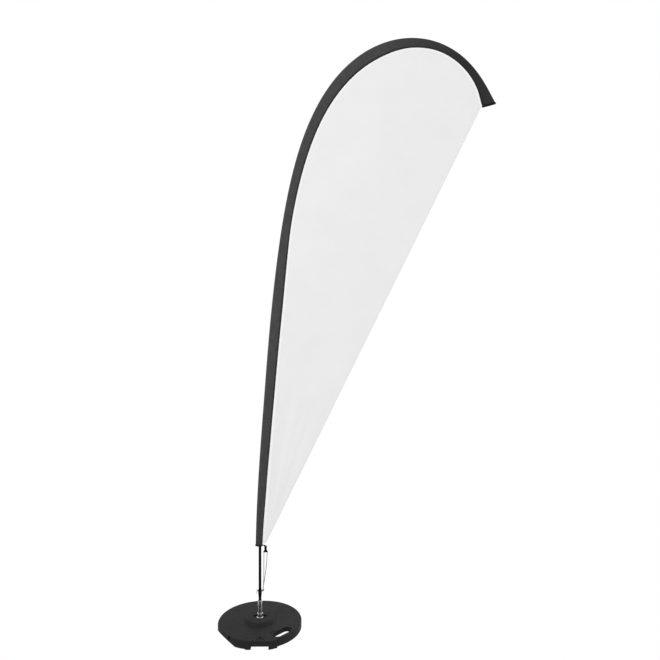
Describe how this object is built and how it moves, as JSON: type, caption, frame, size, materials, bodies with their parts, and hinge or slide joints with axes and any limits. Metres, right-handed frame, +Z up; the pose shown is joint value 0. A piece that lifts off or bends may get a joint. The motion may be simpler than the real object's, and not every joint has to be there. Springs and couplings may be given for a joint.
{
  "type": "teardrop flag",
  "caption": "Teardrop flag: curved mast in a dark sleeve with a white cloth, turning on a rotor above a round fillable base.",
  "frame": {"origin": "centre of the base's underside, on the spindle axis", "axes": "+Z up along the spindle; +X towards the side on which the flag spreads; the flag lies in the plane y = 0"},
  "size_m": [1.5403, 0.4599, 3.2711],
  "materials": {
    "tank_plastic": "moulded",
    "cap_plastic": "moulded",
    "seal_rubber": "smooth",
    "chrome": "polished",
    "steel": "machined",
    "black_plastic": "moulded",
    "fibreglass": "smooth",
    "aluminium": "drawn",
    "sleeve_fabric": "woven",
    "black_webbing": "woven",
    "white_fabric": "knitted",
    "white_tape": "woven",
    "elastic": "braided cover"
  },
  "bodies": {
    "base": {"base_tank": "tank_plastic", "spindle_shaft": "steel", "under_washer": "steel", "under_nut": "steel", "hub_washer": "chrome", "hub_nut": "chrome", "lower_inner_ring": "steel", "upper_inner_ring": "steel", "inner_spacer": "steel", "retaining_ring": "steel"},
    "bearing_balls": {"lower_balls": "steel", "upper_balls": "steel"},
    "rotor": {"rotor_tube": "chrome", "lower_outer_ring": "steel", "upper_outer_ring": "steel", "seat_cup": "black_plastic", "mouth_bush": "black_plastic"},
    "mast": {"pole_foot": "fibreglass", "foot_plug": "black_plastic", "pole_section_1": "fibreglass", "pole_section_2": "fibreglass", "pole_section_3": "fibreglass", "pole_section_4": "fibreglass", "ferrule_1": "aluminium", "ferrule_2": "aluminium", "ferrule_3": "aluminium", "ferrule_4": "aluminium", "tip_cap": "black_plastic", "hook_collar": "black_plastic", "elastic_end": "elastic", "sleeve": "sleeve_fabric", "sleeve_hem": "black_webbing", "tip_hem": "sleeve_fabric", "seam_tape": "white_tape", "flag_cloth": "white_fabric", "leech_hem": "white_tape", "webbing_tab": "black_webbing", "tension_clip": "black_plastic", "elastic_loop": "elastic"},
    "cap_carrier": {"cap_seal": "seal_rubber"},
    "cap": {"fill_cap": "cap_plastic"}
  },
  "joints": [
    {"name": "flag_spin", "type": "hinge", "parent": "base", "child": "rotor", "pos_m": [0, 0, 0.1], "axis": [0, 0, 1], "continuous": true},
    {"name": "ball_orbit", "type": "hinge", "parent": "base", "child": "bearing_balls", "pos_m": [0, 0, 0.1], "axis": [0, 0, 1], "continuous": true},
    {"name": "mast_lift", "type": "slide", "parent": "rotor", "child": "mast", "axis": [0, 0, 1], "range_m": [0, 0.06]},
    {"name": "cap_lift", "type": "slide", "parent": "base", "child": "cap_carrier", "axis": [0, 0, 1], "range_m": [0, 0.012]},
    {"name": "cap_turn", "type": "hinge", "parent": "cap_carrier", "child": "cap", "pos_m": [0.02253, -0.1947, 0.04], "axis": [0, 0, 1], "range_deg": [0, 1080]}
  ],
  "couplings": [
    {"joint": "ball_orbit", "follows": "flag_spin", "ratio": 0.6},
    {"joint": "cap_lift", "follows": "cap_turn", "m_per_rad": 0.00063662}
  ]
}
